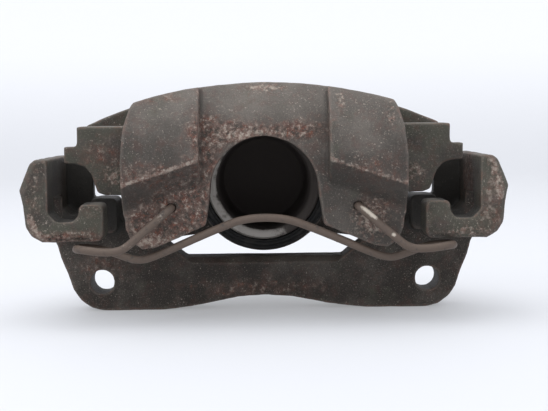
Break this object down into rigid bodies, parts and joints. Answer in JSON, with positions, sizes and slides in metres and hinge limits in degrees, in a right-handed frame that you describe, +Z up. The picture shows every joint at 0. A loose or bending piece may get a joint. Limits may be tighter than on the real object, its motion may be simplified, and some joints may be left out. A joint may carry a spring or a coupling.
{
  "type": "brake caliper",
  "caption": "Single-piston sliding brake caliper on its carrier bracket, with guide pins and a wire anti-rattle spring, without pads.",
  "frame": {"origin": "midway between the two mounting holes, on the inboard mounting face of the carrier bracket", "axes": "+Z up, +X to the right seen from outboard, +Y inboard along the piston's axis"},
  "size_m": [0.2242, 0.146, 0.1115],
  "materials": {
    "carrier_bracket": "aged casting, brown",
    "caliper_housing": "aged casting with rust specks",
    "piston": "ground",
    "piston_seal": "matt",
    "piston_boot": "matt, dusty",
    "anti_rattle_spring": "oxidised wire",
    "bleed_screw": "passivated",
    "bleed_cap": "matt",
    "guide_pin": "plated",
    "guide_bush": "matt",
    "guide_cap": "matt"
  },
  "bodies": {
    "carrier": {"carrier_bracket": "carrier_bracket", "guide_pin_left": "guide_pin", "guide_pin_right": "guide_pin"},
    "housing": {"caliper_housing": "caliper_housing", "piston_seal": "piston_seal", "piston_boot": "piston_boot", "anti_rattle_spring": "anti_rattle_spring", "guide_bush_left": "guide_bush", "guide_bush_right": "guide_bush", "guide_cap_left": "guide_cap", "guide_cap_right": "guide_cap"},
    "piston": {"piston": "piston"},
    "bleeder": {"bleed_screw": "bleed_screw", "bleed_cap": "bleed_cap"}
  },
  "joints": [
    {"name": "housing_slide", "type": "slide", "parent": "carrier", "child": "housing", "axis": [0, 1, 0], "range_m": [-0.002, 0.011]},
    {"name": "piston_travel", "type": "slide", "parent": "housing", "child": "piston", "axis": [0, -1, 0], "range_m": [0, 0.022]},
    {"name": "bleed_screw_turn", "type": "hinge", "parent": "housing", "child": "bleeder", "pos_m": [0.03686, 0.038, 0.07381], "axis": [0.8192, 0, 0.5736], "range_deg": [0, 270]}
  ]
}
